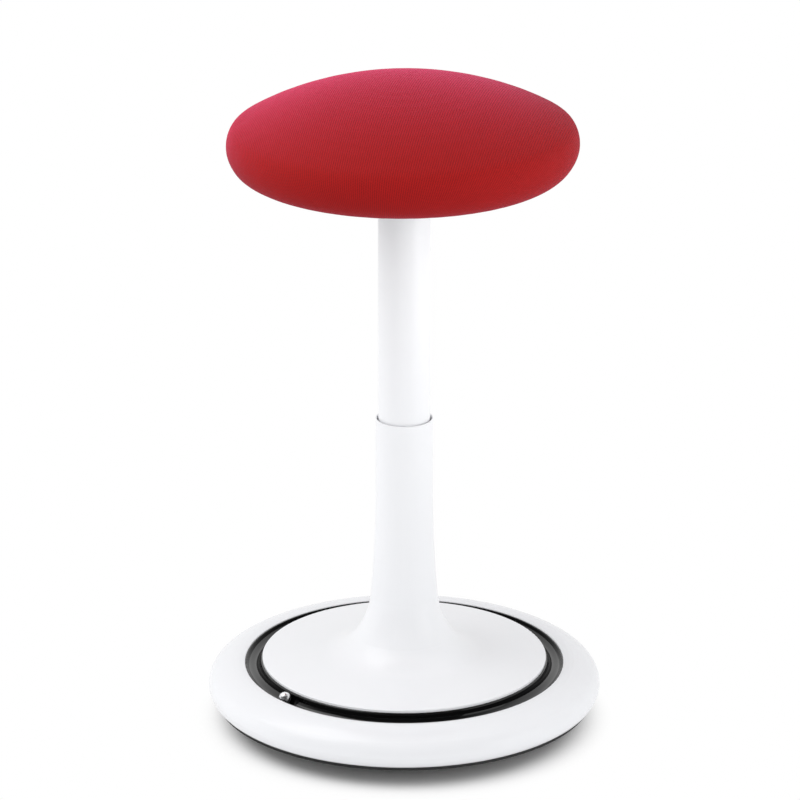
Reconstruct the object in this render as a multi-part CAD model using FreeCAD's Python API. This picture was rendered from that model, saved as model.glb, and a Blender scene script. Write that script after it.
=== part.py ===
import FreeCAD, Part
import math
import os

from FreeCAD import Vector

# A wobble stool: a round padded seat on a gas lift, a flared column, and a heavy round base that
# rocks on a curved rubber sole and has a loose steel ball in a groove round it.
# Sizes are in millimetres. The floor is z = 0, the column stands on the Z axis, and +Y is the
# rear, where the height lever comes out under the seat. The seat is drawn at its highest.

# Clearances
running_gap = 0.05       # radial, between pieces that slide or turn on each other
fixed_gap = 0.02         # radial, between pieces that are pressed or bonded together
seat_gap = 0.3           # between faces that stop or bear on each other
skin_gap = 0.1           # round a fastener, and beside a trim edge

# Rocking sole and the pan bonded on it
rock_radius = 585.0
sole_flat_radius = 40.0
sole_thickness = 3.0
sole_edge = 4.0
pan_wall = 3.0
pan_reach = 24.2
clip_room = 4.0
inner_pad_width = 14.0
outer_pad_width = 14.0
pad_margin = 1.5

# Steel plate and cast ballast
plate_radius = 100.0
plate_thickness = 6.0
ballast_height = 14.0
ballast_chamfer = 2.0
ballast_gap = 4.0

# Column with its disc, one casting
column_wall = 1.44
flare_bends = [(1290.0, 5.0), (79.0, 31.5), (46.0, 48.5)]
disc_radius = 138.5
disc_edge_rise = 5.6
disc_edge_round = 1.1
disc_skin = 2.6
flare_skin = 3.0
foot_tube_wall = 5.2
foot_flange_width = 16.5
foot_flange_thickness = 6.0
rib_count = 6
rib_first_angle = 30.0
rib_thickness = 3.0
rib_end_gap = 17.0
rib_clearance = 2.0

# Lift: stroke, and how deep the white tube stays in the column at its highest
lift_stroke = 200.0
foot_room = 10.0
tube_overlap = 80.4
tube_reach = 246.2
tube_radius = 25.0
tube_wall = 2.0
bush_wall = 1.19
guide_length = 44.5
guide_drop = 3.5
glide_length = 20.0
glide_lip = 1.5
glide_lip_width = 2.5

# Gas spring
cylinder_radius = 14.0
cylinder_wall = 3.0
cylinder_head = 12.0
rod_radius = 5.0
rod_end_radius = 4.0
rod_end_rise = 1.0
gland_length = 14.0
piston_length = 12.0
piston_groove_depth = 2.0
piston_groove_width = 3.0
rod_tip = 2.0
spacer_height = 8.0
spacer_rise = 3.5
spacer_window_count = 8
bump_radius = 11.0
bump_height = 22.4
bump_round = 3.0
clip_radius = 7.0
clip_thickness = 1.2
clip_groove_depth = 0.8
clip_mouth_share = 0.8

# Thrust bearing under the rod
washer_radius = 14.0
washer_thickness = 1.5
thrust_ball_radius = 1.45
thrust_ball_circle = 9.5
thrust_ball_count = 12
thrust_cage_thickness = 1.0
thrust_cage_margin = 3.0

# Ball and its groove
groove_margin = 1.5
groove_radius = 7.0
groove_wall = 1.2
groove_rise = 0.5
ball_radius = 6.0
ball_angle = 218.8
track_bead = 1.8
track_neck = 3.2
track_flange_width = 7.0
track_flange_thickness = 2.0
track_flange_drop = 7.4

# Outer ring: a moulded shell, from its inner lip over the crown to its foot
ring_rise = 33.33
ring_lip_slope = 13.2
ring_lip_round = 0.8
ring_bends = [(23.0, 25.2), (45.6, 25.6), (17.4, 52.8)]
ring_heel_radius = 12.6
ring_wall = 4.0
ring_skirt = 3.0
ring_skirt_rise = 3.0
ring_seat_margin = 1.5
ring_boss_radius = 5.0
ring_pad_margin = 2.0

# Seat cushion
dome_radius = 326.0
dome_turn = 29.0
shoulder_radius = 8.0
shoulder_turn = 25.0
roll_radius = 28.4
cover_thickness = 1.2
cord_radius = 1.5
hem_wall = 0.88
hem_inset = 20.0

# Seat pan, steel seat plate and the socket that grips the gas spring
seat_pan_thickness = 12.0
seat_plate_radius = 80.0
seat_plate_thickness = 3.0
socket_radius = 18.0
socket_length = 38.0
taper_per_length = 0.024
cylinder_stand = 1.5
pocket_width = 28.0
pocket_margin = 6.0

# Height lever and valve pin
valve_pin_radius = 2.95
valve_pin_length = 37.5
valve_pin_show = 7.0
valve_pin_chamfer = 0.8
lever_arm = 42.0
lever_width = 8.0
lever_bar = 5.0
lever_nose = 4.0
lever_leg_offset = 6.0
lever_leg_thickness = 6.0
lever_leg_depth = 22.0
lever_arm_drop = 6.0
lever_straight = 6.0
lever_pivot_height = 7.0
lever_pivot_radius = 2.5
lever_boss_radius = 4.8
lever_side_gap = 0.4
ear_thickness = 3.0
ear_length = 12.0
lever_slot_play = 4.0
pin_end = 2.0
pin_head_radius = 4.0
pin_head_thickness = 1.5
grip_gap = 2.0
grip_length = 36.0
grip_width = 34.0
grip_thickness = 8.0
grip_round = 3.5
grip_end_wall = 8.0

# Cover under the seat
underside_edge_gap = 1.6
underside_flange = 9.0
underside_depth = 8.5
underside_slope = 5.0
underside_wall = 1.5
underside_hole_gap = 0.5

# Fasteners: shank radius, head radius, head height, length under the head
plate_screw = (3.0, 6.0, 3.0, 7.0)
ballast_screw = (3.0, 6.0, 3.0, 10.0)
pan_screw = (2.5, 5.0, 2.5, 6.0)
ring_screw = (2.5, 5.0, 2.5, 15.0)
track_screw = (2.0, 4.0, 2.0, 12.0)
seat_bolt = (3.0, 5.3, 3.2, 13.5)
cover_screw = (1.5, 3.0, 1.8, 10.0)
key_share = 1.3          # width of a key socket, of the shank's radius
key_depth_share = 0.6    # depth of a key socket, of the head's height
head_round_share = 0.6   # edge round of a button head, of its height
plate_screw_count = 6
plate_screw_inset = 7.0
ballast_screw_count = 4
ballast_screw_first = 45.0
pan_screw_count = 6
pan_screw_first = 30.0
pan_screw_inset = 10.0
pan_screw_sink = 0.8
ring_screw_count = 8
ring_screw_first = 22.5
ring_screw_inset = 14.7
ring_screw_sink = 1.6
track_screw_count = 6
seat_bolt_count = 4
seat_bolt_first = 45.0
seat_bolt_circle = 62.0
cover_screw_count = 4
cover_screw_first = 45.0
tee_nut_radius = 4.5
tee_nut_flange_radius = 9.0
tee_nut_flange_thickness = 1.5
tee_nut_length = 9.0

# Radii that follow, in the base
column_bore_radius = tube_radius + running_gap + bush_wall + fixed_gap
column_radius = column_bore_radius + column_wall
foot_tube_radius = column_bore_radius + foot_tube_wall
foot_flange_radius = foot_tube_radius + foot_flange_width
plate_screw_circle = foot_tube_radius + plate_screw_inset
inner_pad_radius = plate_screw_circle + plate_screw[1] + pad_margin
ballast_inner_radius = foot_flange_radius + ballast_gap
ballast_screw_circle = (ballast_inner_radius + plate_radius) / 2
pan_screw_circle = plate_radius - pan_screw_inset
groove_circle = disc_radius + groove_margin + groove_radius
track_neck_radius = groove_circle - groove_radius - track_bead - track_neck
track_screw_circle = track_neck_radius - track_flange_width / 2
ring_lip_radius = groove_circle + groove_radius + groove_wall + skin_gap
ring_screw_circle = ring_lip_radius + ring_screw_inset
pan_radius = ring_lip_radius + pan_reach
sole_radius = pan_radius + sole_edge

# Radii that follow, in the seat and the lift
cylinder_bore_radius = cylinder_radius - cylinder_wall
tube_bore_radius = tube_radius - tube_wall
shoulder_end_turn = dome_turn + shoulder_turn
seat_flat_radius = ((dome_radius - shoulder_radius) * math.sin(math.radians(dome_turn))
                    - (roll_radius - shoulder_radius) * math.sin(math.radians(shoulder_end_turn)))
seat_pan_radius = seat_flat_radius + seat_gap
hem_radius = seat_pan_radius - hem_inset
hem_tube_radius = cord_radius + fixed_gap + hem_wall
underside_radius = hem_radius - hem_tube_radius - underside_edge_gap
grip_start = underside_radius + grip_gap


def rocker_height(above, at_radius):
    """Height of the rocking curve at a radius, raised along its normal by a thickness."""
    reach = at_radius - sole_flat_radius
    return rock_radius - math.sqrt((rock_radius - above) ** 2 - reach ** 2)


# Heights that follow, from the floor up
plate_bottom = sole_thickness + pan_wall + clip_room
plate_top = plate_bottom + plate_thickness
ballast_top = plate_top + ballast_height
pan_screw_bottom = rocker_height(sole_thickness, pan_screw_circle) + pan_screw_sink
ring_screw_bottom = rocker_height(sole_thickness, ring_screw_circle) + ring_screw_sink
ring_pad_top = rocker_height(sole_thickness + pan_wall, ring_screw_circle) + ring_pad_margin
ring_foot_height = rocker_height(sole_thickness, sole_radius) + skin_gap
ring_seat_height = ring_foot_height + ring_skirt_rise
ring_lip_height = ring_foot_height + ring_rise
groove_centre_height = ring_lip_height - groove_rise
groove_floor = groove_centre_height - groove_radius
disc_edge_height = ring_lip_height + disc_edge_rise
disc_underside = disc_edge_height - disc_skin
track_flange_top = disc_underside - track_flange_drop
track_flange_bottom = track_flange_top - track_flange_thickness
thrust_height = plate_top + washer_thickness + thrust_ball_radius + running_gap
rod_shoulder = thrust_height + thrust_ball_radius + running_gap + washer_thickness
rim_height = plate_top + foot_room + lift_stroke + tube_overlap
tube_bottom = rim_height - tube_overlap
cylinder_bottom = rod_shoulder + bump_height + seat_gap + lift_stroke
piston_bottom = cylinder_bottom + gland_length + seat_gap
seat_bottom = rim_height + tube_reach
pan_bottom = seat_bottom + cover_thickness + seat_gap
hem_height = pan_bottom - seat_gap - hem_tube_radius
seat_pan_top = pan_bottom + seat_pan_thickness
seat_plate_bottom = pan_bottom - seat_plate_thickness
socket_bottom = seat_plate_bottom - socket_length
taper_start = socket_bottom - cylinder_stand
cylinder_top = seat_plate_bottom + cylinder_stand
valve_pin_top = cylinder_top + valve_pin_show

# The lever's places: y from the column's axis, and heights
pivot_height = pan_bottom + lever_pivot_height
leg_front = lever_arm + lever_leg_offset
leg_back = leg_front + lever_leg_thickness
leg_bottom = pivot_height - lever_leg_depth
arm_bottom = leg_bottom - lever_bar - lever_arm_drop
lever_top = valve_pin_top + seat_gap + lever_bar
pin_half = lever_width / 2 + lever_side_gap + ear_thickness + pin_end


def at(point):
    """A point of a half section, given as radius and height."""
    return Vector(point[0], 0, point[1])


def lines(*points):
    """Straight edges through the points of a half section."""
    return [Part.LineSegment(at(a), at(b)).toShape() for a, b in zip(points, points[1:])]


def bend(start, heading, radius, turn):
    """Where an arc ends that leaves start along heading. A positive turn is clockwise."""
    side = math.copysign(radius, turn)
    first = math.radians(heading)
    last = math.radians(heading - turn)
    return (start[0] + side * (math.sin(first) - math.sin(last)),
            start[1] + side * (math.cos(last) - math.cos(first)))


def bends(start, heading, arcs):
    """Edges of arcs that run on from each other, with the end point and the heading there."""
    edges = []
    for radius, turn in arcs:
        middle = bend(start, heading, radius, turn / 2)
        end = bend(start, heading, radius, turn)
        edges.append(Part.Arc(at(start), at(middle), at(end)).toShape())
        start = end
        heading = heading - turn
    return edges, start, heading


def beside(point, heading, distance):
    """A point to the right of a heading."""
    angle = math.radians(heading)
    return (point[0] + distance * math.sin(angle), point[1] - distance * math.cos(angle))


def spin(edges):
    """The solid that a closed half section sweeps round the Z axis."""
    wire = Part.Wire(Part.__sortEdges__(edges))
    solid = Part.Face(wire).revolve(Vector(0, 0, 0), Vector(0, 0, 1), 360)
    if solid.Volume < 0:
        solid.reverse()
    return solid


def disc(radius, bottom, top, x=0.0, y=0.0):
    return Part.makeCylinder(radius, top - bottom, Vector(x, y, bottom))


def ring(inner, outer, bottom, top):
    return disc(outer, bottom, top).cut(disc(inner, bottom, top))


def box(x_low, x_high, y_low, y_high, z_low, z_high):
    corner = Vector(x_low, y_low, z_low)
    return Part.makeBox(x_high - x_low, y_high - y_low, z_high - z_low, corner)


def around(count, circle, first=0.0):
    """Points evenly spaced on a circle, the first of them at an angle in degrees."""
    angles = [math.radians(first + 360.0 * i / count) for i in range(count)]
    return [(circle * math.cos(a), circle * math.sin(a)) for a in angles]


def turned(shape, angle):
    copy = shape.copy()
    copy.rotate(Vector(0, 0, 0), Vector(0, 0, 1), angle)
    return copy


def cut_all(shape, tools):
    return shape.cut(Part.makeCompound(tools))


def cosine(angle):
    return math.cos(math.radians(angle))


def rims_at(shape, height, inner=0.0):
    """Flat edges of a shape that lie at a height and reach further out than a radius."""
    near = 1e-6
    return [e for e in shape.Edges if e.BoundBox.ZLength < near
            and abs(e.BoundBox.ZMin - height) < near and e.BoundBox.XMax > inner]


def hexagon(x, y, across, bottom, top):
    """A hexagonal prism, for the key socket of a screw."""
    corners = [Vector(x + px, y + py, bottom) for px, py in around(6, across / math.sqrt(3))]
    face = Part.Face(Part.makePolygon(corners + corners[:1]))
    return face.extrude(Vector(0, 0, top - bottom))


def countersunk(spot, bottom, size, gap=0.0):
    """A countersunk screw that points up from its flat head, or with a gap the hole for it."""
    shank, head, head_height, length = size
    x, y = spot
    cone = Part.makeCone(head + gap, shank + gap, head_height, Vector(x, y, bottom))
    stem = disc(shank + gap, bottom, bottom + head_height + length + gap, x, y)
    screw = cone.fuse(stem)
    if gap:
        return screw
    key_top = bottom + head_height * key_depth_share
    return screw.cut(hexagon(x, y, shank * key_share, bottom, key_top))


def countersunk_down(spot, top, size, gap=0.0):
    """The same screw, pointing down from its flat head."""
    screw = countersunk(spot, 0, size, gap)
    screw.rotate(Vector(spot[0], spot[1], 0), Vector(1, 0, 0), 180)
    screw.translate(Vector(0, 0, top))
    return screw


def button_screw(spot, seat, size):
    """A screw with a low round head below its seat, pointing up."""
    shank, head, head_height, length = size
    x, y = spot
    bottom = seat - head_height
    screw = disc(head, bottom, seat, x, y)
    screw = screw.makeFillet(head_height * head_round_share, rims_at(screw, bottom, x))
    screw = screw.fuse(disc(shank, seat, seat + length, x, y))
    key_top = bottom + head_height * key_depth_share
    return screw.cut(hexagon(x, y, shank * key_share, bottom, key_top))


def group(shapes):
    """Like pieces that stay separate solids and share one node."""
    return Part.makeCompound(list(shapes))


def rocker_arc(above, outer):
    """The rocking curve, raised along its normal, from the flat middle out to a radius."""
    radius = rock_radius - above
    turn = math.degrees(math.asin((outer - sole_flat_radius) / radius))
    return bends((sole_flat_radius, above), 0, [(radius, -turn)])


def dish(low, high, outer):
    """A dish of even thickness between two raised rocking curves."""
    turn_edges, low_end, heading = rocker_arc(low, outer)
    angle = math.radians(heading)
    inner = outer - (high - low) * math.sin(angle)
    back_edges, high_end, _ = rocker_arc(high, inner)
    middle = lines((sole_flat_radius, high), (0, high), (0, low), (sole_flat_radius, low))
    return spin(middle + turn_edges + lines(low_end, high_end) + back_edges)


def below_pan():
    """All that lies under the pan, to trim its ribs and pads to the curve."""
    edges, end, _ = rocker_arc(sole_thickness, sole_radius)
    deep = -sole_thickness
    sides = lines(end, (end[0], deep), (0, deep), (0, sole_thickness),
                  (sole_flat_radius, sole_thickness))
    return spin(edges + sides)


def make_rocker_sole():
    return dish(0, sole_thickness, sole_radius)


plate_screw_spots = around(plate_screw_count, plate_screw_circle)
ballast_screw_spots = around(ballast_screw_count, ballast_screw_circle, ballast_screw_first)
pan_screw_spots = around(pan_screw_count, pan_screw_circle, pan_screw_first)
ring_screw_spots = around(ring_screw_count, ring_screw_circle, ring_screw_first)
track_screw_spots = around(track_screw_count, track_screw_circle)
seat_bolt_spots = around(seat_bolt_count, seat_bolt_circle, seat_bolt_first)
cover_screw_spots = around(cover_screw_count, underside_radius - underside_flange / 2,
                           cover_screw_first)


def make_base_pan():
    """Moulded pan: a dish with pads for the plate and screws, and ribs for the ring and track."""
    pan = dish(sole_thickness, sole_thickness + pan_wall, pan_radius)
    track_rib = track_screw_circle - track_flange_width / 2
    skirt_rib = ring_lip_radius - ring_seat_margin
    extras = [
        ring(inner_pad_radius, inner_pad_radius + inner_pad_width, 0, plate_bottom),
        ring(plate_radius - outer_pad_width, plate_radius, 0, plate_bottom),
        ring(track_rib, track_rib + track_flange_width, 0, track_flange_bottom),
        ring(skirt_rib, ring_lip_radius + ring_skirt + ring_seat_margin, 0, ring_seat_height),
    ]
    for x, y in ring_screw_spots:
        extras.append(disc(ring_boss_radius + ring_pad_margin, 0, ring_pad_top, x, y))
    pan = pan.fuse(extras).cut(below_pan())
    holes = [countersunk(s, pan_screw_bottom, pan_screw, skin_gap) for s in pan_screw_spots]
    holes += [countersunk(s, ring_screw_bottom, ring_screw, skin_gap) for s in ring_screw_spots]
    holes += [disc(pan_screw[1] + skin_gap, 0, pan_screw_bottom, x, y) for x, y in pan_screw_spots]
    holes += [disc(ring_screw[1] + skin_gap, 0, ring_screw_bottom, x, y)
              for x, y in ring_screw_spots]
    holes += [countersunk_down(s, track_flange_top, track_screw, fixed_gap)
              for s in track_screw_spots]
    return cut_all(pan, holes)


def make_base_plate():
    plate = disc(plate_radius, plate_bottom, plate_top)
    holes = [countersunk(s, plate_bottom, plate_screw, fixed_gap) for s in plate_screw_spots]
    holes += [countersunk(s, plate_bottom, ballast_screw, fixed_gap) for s in ballast_screw_spots]
    holes += [countersunk(s, pan_screw_bottom, pan_screw, fixed_gap) for s in pan_screw_spots]
    holes.append(disc(rod_end_radius + running_gap, plate_bottom, plate_top))
    return cut_all(plate, holes)


def make_ballast_ring():
    ballast = ring(ballast_inner_radius, plate_radius, plate_top, ballast_top)
    ballast = ballast.makeChamfer(ballast_chamfer, rims_at(ballast, ballast_top))
    return cut_all(ballast, [countersunk(s, plate_bottom, ballast_screw, fixed_gap)
                             for s in ballast_screw_spots])


def flare_start():
    """Height where the column's straight top begins to widen, found from the disc's edge up."""
    arcs = [(radius, -turn) for radius, turn in flare_bends]
    _, end, heading = bends((column_radius, 0), -90, arcs)
    cone = (disc_radius - end[0]) * math.tan(math.radians(-heading))
    return disc_edge_height - end[1] + cone


def make_base_column():
    """The white column and disc: a round lip, a straight neck, the flare and a thin disc."""
    half_wall = column_wall / 2
    lip_start = (column_bore_radius, rim_height - half_wall)
    lip, lip_end, _ = bends(lip_start, 90, [(half_wall, 90), (half_wall, 90)])
    neck_end = (column_radius, flare_start())
    arcs = [(radius, -turn) for radius, turn in flare_bends]
    flare, flare_end, slope = bends(neck_end, -90, arcs)
    cone_end = (disc_radius - disc_edge_round,
                disc_edge_height + disc_edge_round * math.tan(math.radians(-slope)))
    edge, edge_end, _ = bends(cone_end, slope, [(disc_edge_round, 90 + slope)])
    outline = lip + lines(lip_end, neck_end) + flare + lines(flare_end, cone_end) + edge
    outline += lines(edge_end, (edge_end[0], disc_underside),
                     (column_bore_radius, disc_underside), lip_start)
    column = spin(outline)

    waist_edges, waist, waist_slope = bends(neck_end, -90, arcs[:1])
    inner_arcs = [(radius + flare_skin, turn) for radius, turn in arcs[1:]]
    hollow_start = beside(waist, waist_slope, flare_skin)
    hollow_edges, hollow_end, _ = bends(hollow_start, waist_slope, inner_arcs)
    rib_bottom = ballast_top + rib_clearance
    rim_drop = (track_neck_radius - hollow_end[0]) * math.tan(math.radians(slope))
    hollow_edges += lines(hollow_end, (track_neck_radius, hollow_end[1] + rim_drop),
                          (track_neck_radius, rib_bottom), (hollow_start[0], rib_bottom),
                          hollow_start)
    hollow = spin(hollow_edges).cut(disc(foot_tube_radius, rib_bottom, rim_height))
    rib = box(column_bore_radius, track_neck_radius - rib_end_gap, -rib_thickness / 2,
              rib_thickness / 2, rib_bottom, rim_height).common(hollow)
    foot = ring(column_bore_radius, foot_tube_radius, plate_top, hollow_start[1])
    flange = ring(column_bore_radius, foot_flange_radius, plate_top,
                  plate_top + foot_flange_thickness)
    ribs = [turned(rib, rib_first_angle + 360.0 * i / rib_count) for i in range(rib_count)]
    column = column.cut(hollow).fuse([foot, flange] + ribs)
    holes = [countersunk(s, plate_bottom, plate_screw, fixed_gap) for s in plate_screw_spots]
    return cut_all(column, holes)


def make_guide_bush():
    """Plastic bush at the top of the column that the white tube slides in."""
    top = rim_height - guide_drop
    return ring(tube_radius + running_gap, column_bore_radius - fixed_gap, top - guide_length, top)


def make_ball_track():
    """Black ring with a round groove for the ball, a bead under the disc and a screwed flange."""
    inner = groove_circle - groove_radius
    flange_edge = track_neck_radius - track_flange_width
    wall_radius = groove_radius + groove_wall
    meet = math.asin((groove_centre_height - track_flange_bottom) / wall_radius)
    meet_point = (groove_circle - wall_radius * math.cos(meet), track_flange_bottom)
    groove_start = (groove_circle + groove_radius, groove_centre_height)
    groove, groove_end, _ = bends(groove_start, -90, [(groove_radius, 90), (groove_radius, 90)])
    bead_start = (inner, disc_underside - track_bead)
    bead, bead_end, _ = bends(bead_start, 90, [(track_bead, -90)])
    under, under_end, _ = bends(meet_point, math.degrees(meet) - 90,
                                [(wall_radius, math.degrees(meet) - 90), (wall_radius, -90)])
    outline = groove + lines(groove_end, bead_start) + bead
    outline += lines(bead_end, (track_neck_radius, disc_underside),
                     (track_neck_radius, track_flange_top), (flange_edge, track_flange_top),
                     (flange_edge, track_flange_bottom), meet_point)
    outline += under + lines(under_end, groove_start)
    holes = [countersunk_down(s, track_flange_top, track_screw, fixed_gap)
             for s in track_screw_spots]
    return cut_all(spin(outline), holes)


def ring_outline(offset):
    """Crown of the outer ring from its lip to the start of the heel, moved inwards by offset."""
    slope = math.radians(ring_lip_slope)
    back = ring_lip_round * (1 - math.sin(slope))
    corner = (ring_lip_radius + back, ring_lip_height + back * math.tan(slope))
    start = beside(corner, ring_lip_slope, offset)
    arcs = [(radius - offset, turn) for radius, turn in ring_bends]
    return (start,) + bends(start, ring_lip_slope, arcs)


def make_outer_ring():
    """The white ring: a shell with an inner skirt, a narrow foot and bosses for its screws."""
    start, crown, crown_end, heading = ring_outline(0)
    centre = beside(crown_end, heading, ring_heel_radius)
    drop = centre[1] - ring_foot_height
    heel_turn = 180 + heading - math.degrees(math.acos(drop / ring_heel_radius))
    heel, heel_end, _ = bends(crown_end, heading, [(ring_heel_radius, heel_turn)])
    round_start = (ring_lip_radius, start[1] - ring_lip_round * cosine(ring_lip_slope))
    lip = bends(round_start, 90, [(ring_lip_round, 90 - ring_lip_slope)])[0]
    outer = spin(lip + crown + heel
                 + lines(heel_end, (ring_lip_radius, heel_end[1]), round_start))

    start, crown, crown_end, heading = ring_outline(ring_wall)
    heel_arc = [(ring_heel_radius - ring_wall, heel_turn)]
    heel, heel_end, _ = bends(crown_end, heading, heel_arc)
    hollow = spin(crown + heel + lines(heel_end, (heel_end[0], 0), (start[0], 0), start))
    skirt_radius = ring_lip_radius + ring_skirt
    hollow = hollow.cut(disc(skirt_radius, 0, ring_lip_height))
    shell = outer.cut(hollow).cut(disc(skirt_radius, 0, ring_seat_height))
    bosses = [disc(ring_boss_radius, ring_pad_top, ring_lip_height, x, y).common(outer)
              for x, y in ring_screw_spots]
    holes = [countersunk(s, ring_screw_bottom, ring_screw, fixed_gap) for s in ring_screw_spots]
    return cut_all(shell.fuse(bosses), holes)


def make_ball():
    x, y = around(1, groove_circle, ball_angle)[0]
    height = groove_floor + ball_radius + skin_gap
    return Part.makeSphere(ball_radius, Vector(x, y, height))


def make_rod():
    """Piston rod with a thinner end that goes through the bearing and the plate to its clip."""
    end_bottom = sole_thickness + pan_wall + rod_end_rise
    rod = disc(rod_radius, rod_shoulder, piston_bottom + piston_length + rod_tip)
    rod = rod.fuse(disc(rod_end_radius, end_bottom, rod_shoulder))
    clip_top = plate_bottom - seat_gap
    groove = ring(rod_end_radius - clip_groove_depth, rod_radius,
                  clip_top - clip_thickness, clip_top)
    return rod.cut(groove)


def make_rod_clip():
    """Spring clip, open on one side, that holds the rod under the plate."""
    clip_top = plate_bottom - seat_gap
    inner = rod_end_radius - clip_groove_depth + fixed_gap
    clip = ring(inner, clip_radius, clip_top - clip_thickness, clip_top)
    mouth = inner * clip_mouth_share
    return clip.cut(box(0, 2 * clip_radius, -mouth, mouth, 0, plate_bottom))


def make_washer(bottom):
    return ring(rod_end_radius + running_gap, washer_radius, bottom, bottom + washer_thickness)


def make_thrust_cage():
    half = thrust_cage_thickness / 2
    cage = ring(thrust_ball_circle - thrust_cage_margin, thrust_ball_circle + thrust_cage_margin,
                thrust_height - half, thrust_height + half)
    holes = [disc(thrust_ball_radius + running_gap, thrust_height - half, thrust_height + half,
                  x, y) for x, y in around(thrust_ball_count, thrust_ball_circle)]
    return cut_all(cage, holes)


def make_thrust_balls():
    return group(Part.makeSphere(thrust_ball_radius, Vector(x, y, thrust_height))
                 for x, y in around(thrust_ball_count, thrust_ball_circle))


def make_bump_stop():
    inner = rod_radius + fixed_gap
    top = rod_shoulder + bump_height
    stop = ring(inner, bump_radius, rod_shoulder, top)
    return stop.makeFillet(bump_round, rims_at(stop, top, (inner + bump_radius) / 2))


def make_piston():
    """Piston with a groove for its seal, on the upper end of the rod."""
    piston = ring(rod_radius + fixed_gap, cylinder_bore_radius - running_gap,
                  piston_bottom, piston_bottom + piston_length)
    groove_bottom = piston_bottom + (piston_length - piston_groove_width) / 2
    groove = ring(cylinder_bore_radius - piston_groove_depth, cylinder_radius,
                  groove_bottom, groove_bottom + piston_groove_width)
    return piston.cut(groove)


def taper_radius(height):
    """Radius of the gas spring's upper end at a height. It narrows towards the seat plate."""
    return cylinder_radius - (height - taper_start) * taper_per_length


def make_cylinder():
    body = disc(cylinder_radius, cylinder_bottom, taper_start)
    body = body.fuse(Part.makeCone(cylinder_radius, taper_radius(cylinder_top),
                                   cylinder_top - taper_start, Vector(0, 0, taper_start)))
    body = body.cut(disc(cylinder_bore_radius, cylinder_bottom, cylinder_top - cylinder_head))
    return body.cut(disc(valve_pin_radius + running_gap, cylinder_bottom, cylinder_top))


def make_gland():
    """Guide and seal that the rod slides through, at the lower end of the cylinder."""
    return ring(rod_radius + running_gap, cylinder_bore_radius - fixed_gap,
                cylinder_bottom, cylinder_bottom + gland_length)


def make_spacer():
    """Spoked plastic ring that keeps the cylinder in the middle of the white tube."""
    bottom = cylinder_bottom + spacer_rise
    top = bottom + spacer_height
    spacer = ring(cylinder_radius + fixed_gap, tube_bore_radius - running_gap, bottom, top)
    middle = (cylinder_radius + tube_bore_radius) / 2
    window = (tube_bore_radius - cylinder_radius) / 4
    return cut_all(spacer, [disc(window, bottom, top, x, y)
                            for x, y in around(spacer_window_count, middle)])


def make_upper_tube():
    return ring(tube_bore_radius, tube_radius, tube_bottom, seat_plate_bottom)


def make_glide_ring():
    """Plastic ring on the lower end of the white tube, running in the column's bore."""
    outer = column_bore_radius - running_gap
    sleeve = ring(tube_radius + fixed_gap, outer, tube_bottom, tube_bottom + glide_length)
    return sleeve.fuse(ring(tube_radius - glide_lip_width, outer, tube_bottom - glide_lip,
                            tube_bottom))


def make_taper_socket():
    """Steel socket welded under the seat plate, with the taper of the gas spring."""
    low_radius = taper_radius(socket_bottom) + fixed_gap
    high_radius = taper_radius(seat_plate_bottom) + fixed_gap
    bore = Part.makeCone(low_radius, high_radius, socket_length, Vector(0, 0, socket_bottom))
    return disc(socket_radius, socket_bottom, seat_plate_bottom).cut(bore)


def pivot_rod(radius, x_low, x_high):
    """A round rod along the lever's pivot."""
    start = Vector(x_low, lever_arm, pivot_height)
    return Part.makeCylinder(radius, x_high - x_low, start, Vector(1, 0, 0))


def lever_slot(bottom, top):
    """Opening that the lever's leg swings in."""
    half = lever_width / 2 + lever_slot_play / 2
    return box(-half, half, leg_front - lever_slot_play / 2, leg_back + lever_slot_play,
               bottom, top)


def make_seat_plate():
    """Round steel plate with holes for the bolts, and two ears that hold the lever's pin."""
    plate = disc(seat_plate_radius, seat_plate_bottom, pan_bottom)
    inner = lever_width / 2 + lever_side_gap
    ears = []
    for side in (-1, 1):
        near, far = sorted((side * inner, side * (inner + ear_thickness)))
        ears.append(box(near, far, lever_arm - ear_length / 2, lever_arm + ear_length / 2,
                        pan_bottom, pivot_height + lever_boss_radius))
    plate = plate.fuse(ears)
    pin_hole = pivot_rod(lever_pivot_radius + fixed_gap, -pin_half, pin_half)
    tools = [pin_hole, lever_slot(seat_plate_bottom, pan_bottom)]
    tools.append(disc(taper_radius(seat_plate_bottom) + seat_gap, seat_plate_bottom, pan_bottom))
    tools += [disc(seat_bolt[0] + skin_gap, seat_plate_bottom, pan_bottom, x, y)
              for x, y in seat_bolt_spots]
    return cut_all(plate, tools)


def make_seat_bolts():
    return group(button_screw(s, seat_plate_bottom, seat_bolt) for s in seat_bolt_spots)


def tee_nut_body(x, y, gap):
    """Barrel and flange of a nut, or with a gap the recess that it sits in."""
    flange = disc(tee_nut_flange_radius + gap, seat_pan_top - tee_nut_flange_thickness,
                  seat_pan_top, x, y)
    return flange.fuse(disc(tee_nut_radius + gap, seat_pan_top - tee_nut_length, seat_pan_top,
                            x, y))


def make_tee_nuts():
    """Flanged nuts let into the top of the wooden pan, one for each seat bolt."""
    nuts = []
    for x, y in seat_bolt_spots:
        bore = disc(seat_bolt[0] + fixed_gap, pan_bottom, seat_pan_top, x, y)
        nuts.append(tee_nut_body(x, y, 0).cut(bore))
    return group(nuts)


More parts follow.
